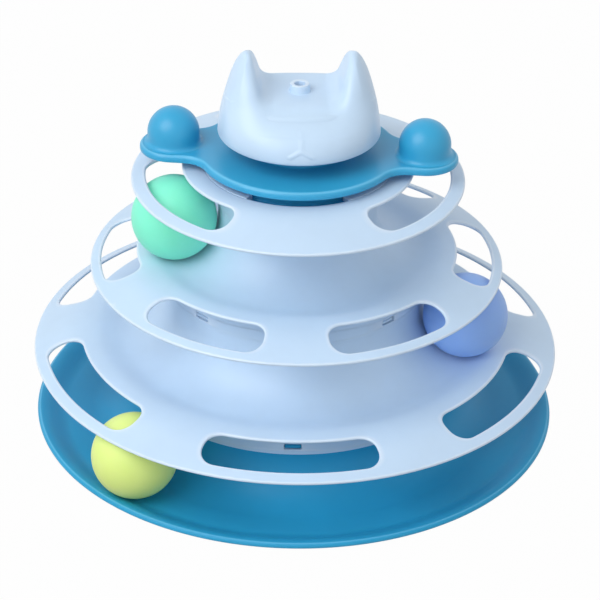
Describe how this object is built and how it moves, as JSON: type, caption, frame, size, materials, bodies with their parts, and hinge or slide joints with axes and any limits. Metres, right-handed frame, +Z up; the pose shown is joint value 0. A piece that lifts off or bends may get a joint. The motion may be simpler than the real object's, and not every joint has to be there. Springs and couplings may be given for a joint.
{
  "type": "cat ball track toy",
  "caption": "Tower of stacked ring tracks with a captive ball on each level, windows for paws, a two-armed spinner and a cat-shaped cap with a wand socket.",
  "frame": {"origin": "centre of the tower's axis on the surface it stands on, under the anti-slip pads", "axes": "+Z up along the tower's axis, -Y towards the front of the cat-shaped cap, +X to its left"},
  "size_m": [0.2506, 0.2506, 0.1915],
  "materials": {
    "base_plastic": "satin moulded",
    "pad_rubber": "matte",
    "lower_tier_plastic": "satin moulded",
    "middle_tier_plastic": "satin moulded",
    "upper_tier_plastic": "satin moulded",
    "lower_ball_plastic": "satin moulded",
    "middle_ball_plastic": "satin moulded",
    "upper_ball_plastic": "satin moulded",
    "washer_plastic": "smooth",
    "spinner_plastic": "satin moulded",
    "cap_plastic": "satin moulded",
    "screw_steel": "plated"
  },
  "bodies": {
    "tower": {"base_tray": "base_plastic", "foot_pad_1": "pad_rubber", "foot_pad_2": "pad_rubber", "foot_pad_3": "pad_rubber", "foot_pad_4": "pad_rubber", "foot_pad_5": "pad_rubber", "foot_pad_6": "pad_rubber", "lower_tier": "lower_tier_plastic", "middle_tier": "middle_tier_plastic", "upper_tier": "upper_tier_plastic", "thrust_washer": "washer_plastic", "cat_cap": "cap_plastic", "cap_screw": "screw_steel"},
    "spinner": {"spinner": "spinner_plastic"},
    "lower_ball": {"lower_ball": "lower_ball_plastic"},
    "middle_ball": {"middle_ball": "middle_ball_plastic"},
    "upper_ball": {"upper_ball": "upper_ball_plastic"}
  },
  "joints": [
    {"name": "spinner_turn", "type": "hinge", "parent": "tower", "child": "spinner", "pos_m": [0, 0, 0.143], "axis": [0, 0, 1], "continuous": true},
    {"name": "lower_ball_run", "type": "hinge", "parent": "tower", "child": "lower_ball", "pos_m": [0, 0, 0.0233], "axis": [0, 0, 1], "continuous": true},
    {"name": "middle_ball_run", "type": "hinge", "parent": "tower", "child": "middle_ball", "pos_m": [0, 0, 0.0664], "axis": [0, 0, 1], "continuous": true},
    {"name": "upper_ball_run", "type": "hinge", "parent": "tower", "child": "upper_ball", "pos_m": [0, 0, 0.1105], "axis": [0, 0, 1], "continuous": true}
  ]
}
